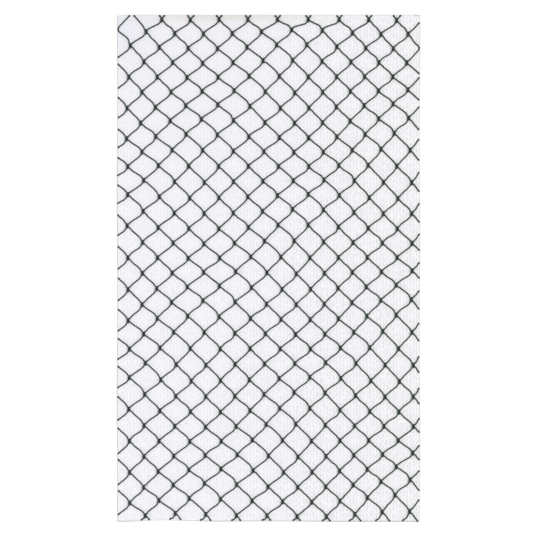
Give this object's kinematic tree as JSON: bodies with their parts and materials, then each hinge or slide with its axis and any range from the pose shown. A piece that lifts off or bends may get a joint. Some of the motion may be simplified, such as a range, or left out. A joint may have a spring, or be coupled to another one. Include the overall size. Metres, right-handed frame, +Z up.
{
  "type": "cargo climbing net",
  "caption": "Knotted rope climbing net with diamond meshes, lashed at its edges over a ribbed cloth panel that lies flat.",
  "frame": {"origin": "middle of the panel's underside, on the ground it lies on", "axes": "+X across the panel to the right, +Y along the panel towards its head, +Z up off the ground, through the net"},
  "size_m": [1.83, 3.06, 0.0248],
  "materials": {
    "ribbed_cloth": "white ribbed woven cotton, matt",
    "edge_tape": "white twill tape, matt",
    "seam_thread": "white polyester sewing thread",
    "green_rope": "dark green laid polypropylene rope, slightly fuzzy",
    "lashing_twine": "near-black waxed whipping twine"
  },
  "bodies": {
    "root": {"back_tape_foot": "edge_tape", "back_tape_head": "edge_tape", "back_tape_left": "edge_tape", "back_tape_right": "edge_tape", "cloth_panel": "ribbed_cloth", "lashings_foot": "lashing_twine", "lashings_head": "lashing_twine", "lashings_left": "lashing_twine", "lashings_right": "lashing_twine", "left_bights": "green_rope", "net_rope_01": "green_rope", "net_rope_02": "green_rope", "net_rope_03": "green_rope", "net_rope_04": "green_rope", "net_rope_05": "green_rope", "net_rope_06": "green_rope", "net_rope_07": "green_rope", "net_rope_08": "green_rope", "net_rope_09": "green_rope", "net_rope_10": "green_rope", "net_rope_11": "green_rope", "net_rope_12": "green_rope", "net_rope_13": "green_rope", "net_rope_14": "green_rope", "net_rope_15": "green_rope", "net_rope_16": "green_rope", "net_rope_17": "green_rope", "net_rope_18": "green_rope", "net_rope_19": "green_rope", "right_bights": "green_rope", "seam_foot": "seam_thread", "seam_head": "seam_thread", "seam_left": "seam_thread", "seam_right": "seam_thread"}
  },
  "joints": []
}
